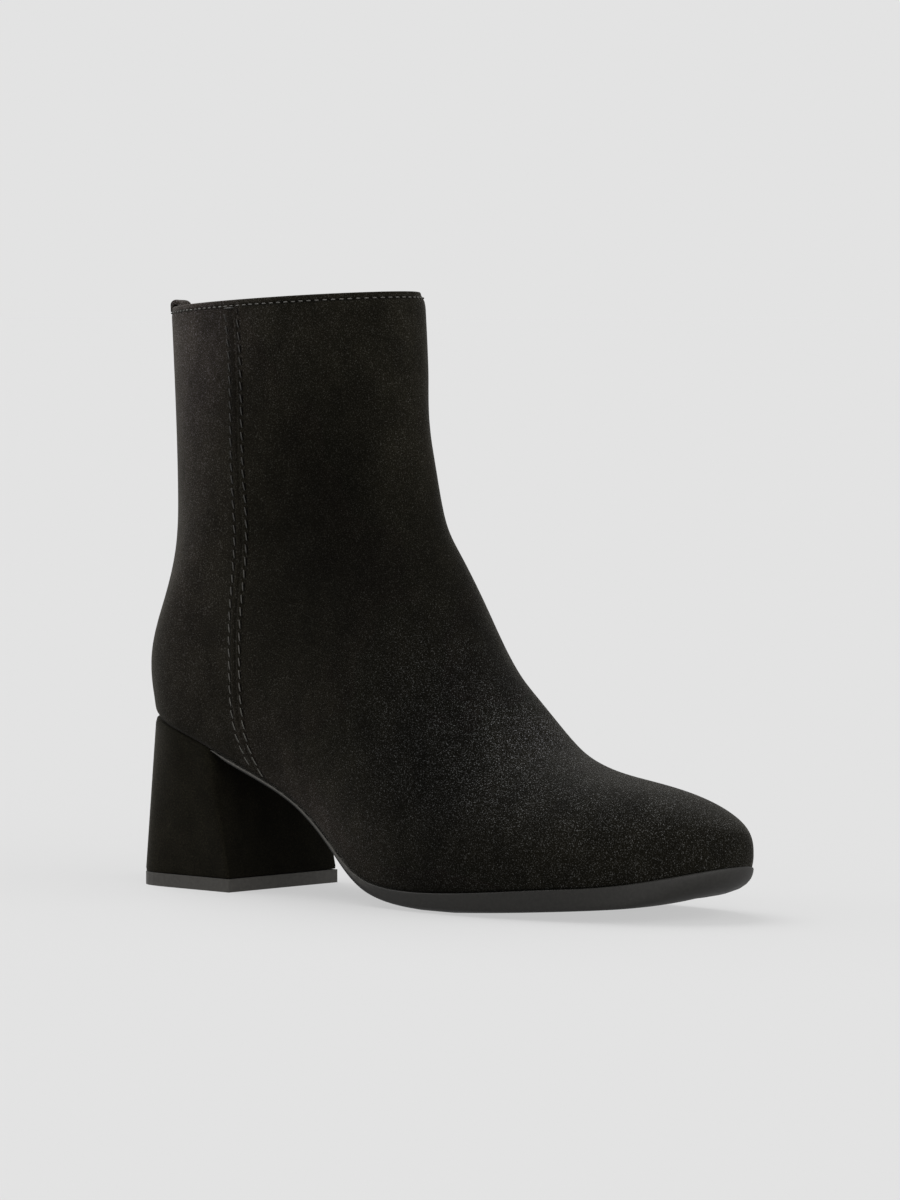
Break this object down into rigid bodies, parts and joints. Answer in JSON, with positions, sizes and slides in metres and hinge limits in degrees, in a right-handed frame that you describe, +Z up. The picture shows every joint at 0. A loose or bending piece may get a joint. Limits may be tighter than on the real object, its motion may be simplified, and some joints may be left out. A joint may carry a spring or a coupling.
{
  "type": "waterproof bootie",
  "caption": "Black suede ankle bootie for the right foot with a rounded toe, stitched side seams, a flared covered block heel and a slim rubber sole.",
  "frame": {"origin": "on the floor, under the middle of the boot's box", "axes": "+X to the toe, +Y to the inner side of the foot, +Z up"},
  "size_m": [0.2472, 0.0812, 0.2038],
  "materials": {
    "suede": "napped, matte",
    "rubber": "satin",
    "insole": "matte"
  },
  "bodies": {
    "root": {"upper": "suede", "collar_lap": "suede", "heel_block": "suede", "outsole": "rubber", "top_lift": "rubber", "insole": "insole"}
  },
  "joints": []
}
